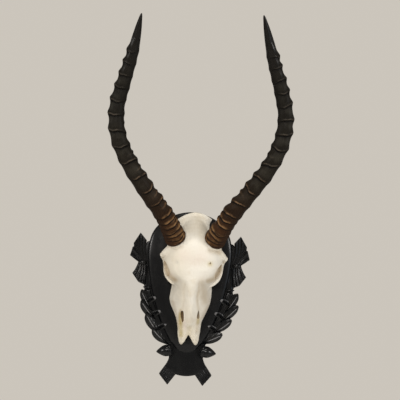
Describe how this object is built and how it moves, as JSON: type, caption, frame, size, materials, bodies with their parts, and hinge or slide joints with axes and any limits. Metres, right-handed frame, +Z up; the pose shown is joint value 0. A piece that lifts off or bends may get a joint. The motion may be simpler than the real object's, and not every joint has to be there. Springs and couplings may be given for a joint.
{
  "type": "impala horn and skull wall mount",
  "caption": "Ringed, lyre-shaped impala horns on their bleached half skull, fixed to a carved black wooden wall shield with ribbons, leaves and a bow.",
  "frame": {"origin": "on the shield's flat back, at the middle of its width and height", "axes": "+X to the viewer's right, +Y into the wall, +Z up"},
  "size_m": [0.3244, 0.265, 0.664],
  "materials": {
    "black_paint": "satin",
    "bone": "matte",
    "horn": "satin",
    "steel": "satin"
  },
  "bodies": {
    "root": {"shield": "black_paint", "skull": "bone", "horn_left": "horn", "horn_right": "horn", "skull_screw_upper": "steel", "skull_screw_lower": "steel", "hanger_plate": "steel", "hanger_screw_left": "steel", "hanger_screw_right": "steel"}
  },
  "joints": []
}
